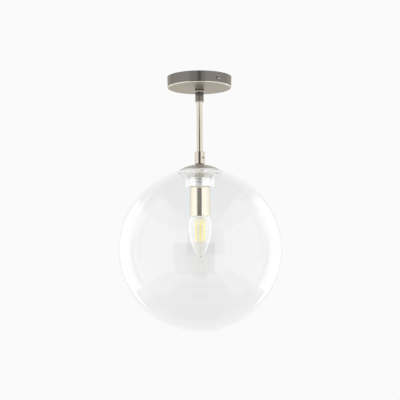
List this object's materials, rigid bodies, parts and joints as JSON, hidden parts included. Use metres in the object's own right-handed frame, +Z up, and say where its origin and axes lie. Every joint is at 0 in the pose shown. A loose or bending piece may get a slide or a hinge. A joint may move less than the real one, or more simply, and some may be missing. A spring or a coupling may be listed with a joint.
{
  "type": "pendant light",
  "caption": "Short rod pendant: round canopy and bracket, hollow rod, domed cap, clear glass globe on a threaded gallery, and a sleeved screw lampholder with a candle bulb.",
  "frame": {"origin": "centre of the ceiling bracket's top face, on the ceiling plane", "axes": "+Z up into the ceiling, front of the light towards -Y, +X to the right seen from the front"},
  "size_m": [0.2499, 0.25, 0.3911],
  "materials": {
    "satin_nickel": "satin nickel, fine radial brushing",
    "polished_nickel": "polished nickel, slightly warm",
    "bright_plating": "bright neutral plating",
    "dark_steel": "blackened steel",
    "plated_steel": "zinc plated steel",
    "brass": "plain brass",
    "clear_globe_glass": "clear blown glass",
    "clear_bulb_glass": "clear bulb glass",
    "clear_silicone": "translucent silicone",
    "white_plastic": "natural white plastic",
    "holder_plastic": "moulded plastic",
    "white_sheath": "white flex sheath",
    "brown_insulation": "brown core insulation",
    "blue_insulation": "blue core insulation",
    "green_yellow_insulation": "green and yellow striped insulation",
    "lamp_cap_metal": "nickel plated lamp cap",
    "black_insulator": "black lamp glass insulator",
    "filament_phosphor": "yellow phosphor coating",
    "lead_wire": "nickel lead wire"
  },
  "bodies": {
    "fixture": {"ceiling_bracket": "plated_steel", "terminal_block": "white_plastic", "terminal_clamps": "brass", "terminal_clamp_screws": "plated_steel", "terminal_fixing_screw": "plated_steel", "bracket_earth_lug": "brass", "canopy_earth_lug": "brass", "earth_washer": "plated_steel", "earth_screw": "plated_steel", "earth_wire": "green_yellow_insulation", "canopy": "satin_nickel", "toothed_washer": "plated_steel", "canopy_nut": "plated_steel", "top_nipple": "plated_steel", "cord_bush": "white_plastic", "upper_collar": "satin_nickel", "rod": "polished_nickel", "lower_collar": "polished_nickel", "lower_nipple": "plated_steel", "cap_washer": "satin_nickel", "domed_cap": "satin_nickel", "spacer_tube": "polished_nickel", "gallery_cup": "bright_plating", "gallery_nut": "plated_steel", "lamp_sleeve": "polished_nickel", "holder_body": "holder_plastic", "threaded_shell": "brass", "centre_contact": "brass", "holder_terminals": "brass", "holder_terminal_screws": "plated_steel", "rod_flex": "white_sheath", "live_core": "brown_insulation", "neutral_core": "blue_insulation", "holder_live_core": "brown_insulation", "holder_neutral_core": "blue_insulation"},
    "seal": {"globe_seal": "clear_silicone"},
    "globe": {"glass_globe": "clear_globe_glass"},
    "lamp_contact": {"bulb_contact": "lamp_cap_metal"},
    "lamp": {"bulb_insulator": "black_insulator", "bulb_cap": "lamp_cap_metal", "bulb_glass": "clear_bulb_glass", "bulb_stem": "clear_bulb_glass", "bulb_filaments": "filament_phosphor", "filament_wires": "lead_wire"},
    "front_screw": {"canopy_screw_front": "satin_nickel"},
    "back_screw": {"canopy_screw_back": "satin_nickel"},
    "grub": {"grub_screw": "dark_steel"}
  },
  "joints": [
    {"name": "globe_lower", "type": "slide", "parent": "fixture", "child": "seal", "axis": [0, 0, -1], "range_m": [0, 0.012]},
    {"name": "globe_turn", "type": "hinge", "parent": "seal", "child": "globe", "pos_m": [0, 0, -0.17208], "axis": [0, 0, -1], "range_deg": [0, 1080]},
    {"name": "lamp_lower", "type": "slide", "parent": "fixture", "child": "lamp_contact", "axis": [0, 0, -1], "range_m": [0, 0.0141]},
    {"name": "lamp_turn", "type": "hinge", "parent": "lamp_contact", "child": "lamp", "pos_m": [0, 0, -0.19925], "axis": [0, 0, -1], "range_deg": [0, 1800]},
    {"name": "front_screw_back_out", "type": "slide", "parent": "fixture", "child": "front_screw", "axis": [0.5736, -0.8192, 0], "range_m": [0, 0.006]},
    {"name": "back_screw_back_out", "type": "slide", "parent": "fixture", "child": "back_screw", "axis": [-0.5736, 0.8192, 0], "range_m": [0, 0.006]},
    {"name": "grub_screw_back_out", "type": "slide", "parent": "fixture", "child": "grub", "axis": [0.6691, -0.7431, 0], "range_m": [0, 0.0035]}
  ],
  "couplings": [
    {"joint": "globe_turn", "follows": "globe_lower", "rad_per_m": 1570.8},
    {"joint": "lamp_turn", "follows": "lamp_lower", "rad_per_m": 2228.1}
  ]
}
